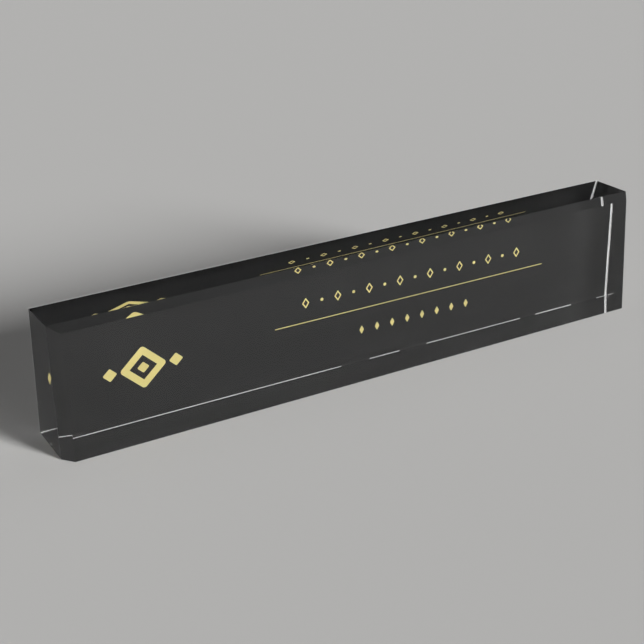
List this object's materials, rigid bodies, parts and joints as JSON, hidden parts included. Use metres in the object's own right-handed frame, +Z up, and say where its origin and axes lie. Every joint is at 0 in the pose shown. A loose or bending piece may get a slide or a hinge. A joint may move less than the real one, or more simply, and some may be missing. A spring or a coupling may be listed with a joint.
{
  "type": "desk name plate",
  "caption": "Free-standing desk name plate: a clear acrylic block with bevelled front edges and a forward-leaning back, with a black and gold print bonded behind it.",
  "frame": {"origin": "centre of the base, where the block stands on the desk", "axes": "+X along the plate to the reader's right, +Y from the bevelled front to the printed back, +Z up"},
  "size_m": [0.253, 0.0286, 0.0508],
  "materials": {
    "clear_acrylic": "polished",
    "clear_bond": "satin",
    "black_ink": "satin",
    "gold_foil": "satin",
    "white_sheet": "matte"
  },
  "bodies": {
    "root": {"acrylic_block": "clear_acrylic", "clear_bond_layer": "clear_bond", "black_print": "black_ink", "white_backing_sheet": "white_sheet", "emblem_frame": "gold_foil", "emblem_heart": "gold_foil", "emblem_left_wing": "gold_foil", "emblem_right_wing": "gold_foil", "gold_rule": "gold_foil", "upper_row_mark_01": "gold_foil", "upper_row_mark_02": "gold_foil", "upper_row_mark_03": "gold_foil", "upper_row_mark_04": "gold_foil", "upper_row_mark_05": "gold_foil", "upper_row_mark_06": "gold_foil", "upper_row_mark_07": "gold_foil", "upper_row_mark_08": "gold_foil", "upper_row_mark_09": "gold_foil", "upper_row_mark_10": "gold_foil", "upper_row_mark_11": "gold_foil", "upper_row_mark_12": "gold_foil", "upper_row_mark_13": "gold_foil", "upper_row_mark_14": "gold_foil", "upper_row_mark_15": "gold_foil", "lower_row_mark_01": "gold_foil", "lower_row_mark_02": "gold_foil", "lower_row_mark_03": "gold_foil", "lower_row_mark_04": "gold_foil", "lower_row_mark_05": "gold_foil", "lower_row_mark_06": "gold_foil", "lower_row_mark_07": "gold_foil", "lower_row_mark_08": "gold_foil"}
  },
  "joints": []
}
